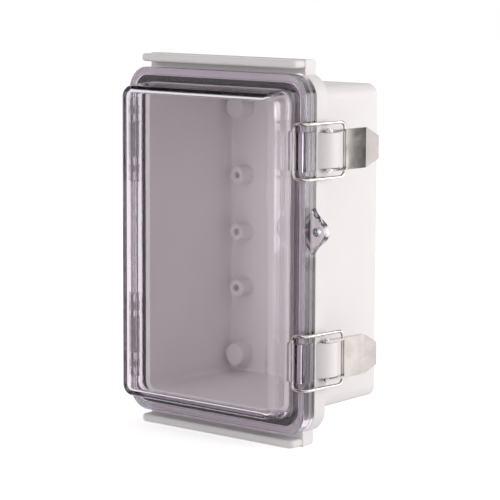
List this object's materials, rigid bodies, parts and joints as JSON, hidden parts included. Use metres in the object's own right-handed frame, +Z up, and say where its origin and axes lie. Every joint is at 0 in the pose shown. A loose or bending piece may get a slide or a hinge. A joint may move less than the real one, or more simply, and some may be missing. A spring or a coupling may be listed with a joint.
{
  "type": "hinged plastic wall enclosure",
  "caption": "Wall box with a clear domed cover on side hinges, a rubber seal, drip ledges and draw latches with wire bails.",
  "frame": {"origin": "middle of the back, on the wall plane", "axes": "+Z up along the long side, +Y into the wall, the cover faces -Y, hinges at -X and latches at +X"},
  "size_m": [0.134, 0.09, 0.1938],
  "materials": {
    "base_plastic": "satin moulded",
    "clear_plastic": "clear, slightly smoked",
    "seal_rubber": "matt",
    "stainless": "polished stainless steel"
  },
  "bodies": {
    "base": {"base_tray": "base_plastic", "upper_hinge_pin": "stainless", "lower_hinge_pin": "stainless", "upper_latch_pin": "stainless", "lower_latch_pin": "stainless"},
    "cover": {"clear_cover": "clear_plastic", "cover_seal": "seal_rubber"},
    "upper_lever": {"upper_latch_lever": "stainless"},
    "upper_bail": {"upper_latch_bail": "stainless"},
    "lower_lever": {"lower_latch_lever": "stainless"},
    "lower_bail": {"lower_latch_bail": "stainless"}
  },
  "joints": [
    {"name": "cover_hinge", "type": "hinge", "parent": "base", "child": "cover", "pos_m": [-0.0602, -0.0694, 0], "axis": [0, 0, -1], "range_deg": [0, 120]},
    {"name": "upper_lever_pivot", "type": "hinge", "parent": "base", "child": "upper_lever", "pos_m": [0.0638, -0.0612, 0.0524], "axis": [0, 0, -1], "range_deg": [0, 150]},
    {"name": "upper_bail_pivot", "type": "hinge", "parent": "upper_lever", "child": "upper_bail", "pos_m": [0.0641, -0.04915, 0.0524], "axis": [0, 0, 1], "range_deg": [0, 270]},
    {"name": "lower_lever_pivot", "type": "hinge", "parent": "base", "child": "lower_lever", "pos_m": [0.0638, -0.0612, -0.0524], "axis": [0, 0, -1], "range_deg": [0, 150]},
    {"name": "lower_bail_pivot", "type": "hinge", "parent": "lower_lever", "child": "lower_bail", "pos_m": [0.0641, -0.04915, -0.0524], "axis": [0, 0, 1], "range_deg": [0, 270]}
  ],
  "couplings": [
    {"joint": "upper_lever_pivot", "follows": "cover_hinge", "ratio": 1.25},
    {"joint": "upper_bail_pivot", "follows": "cover_hinge", "ratio": 2.25},
    {"joint": "lower_lever_pivot", "follows": "cover_hinge", "ratio": 1.25},
    {"joint": "lower_bail_pivot", "follows": "cover_hinge", "ratio": 2.25}
  ]
}
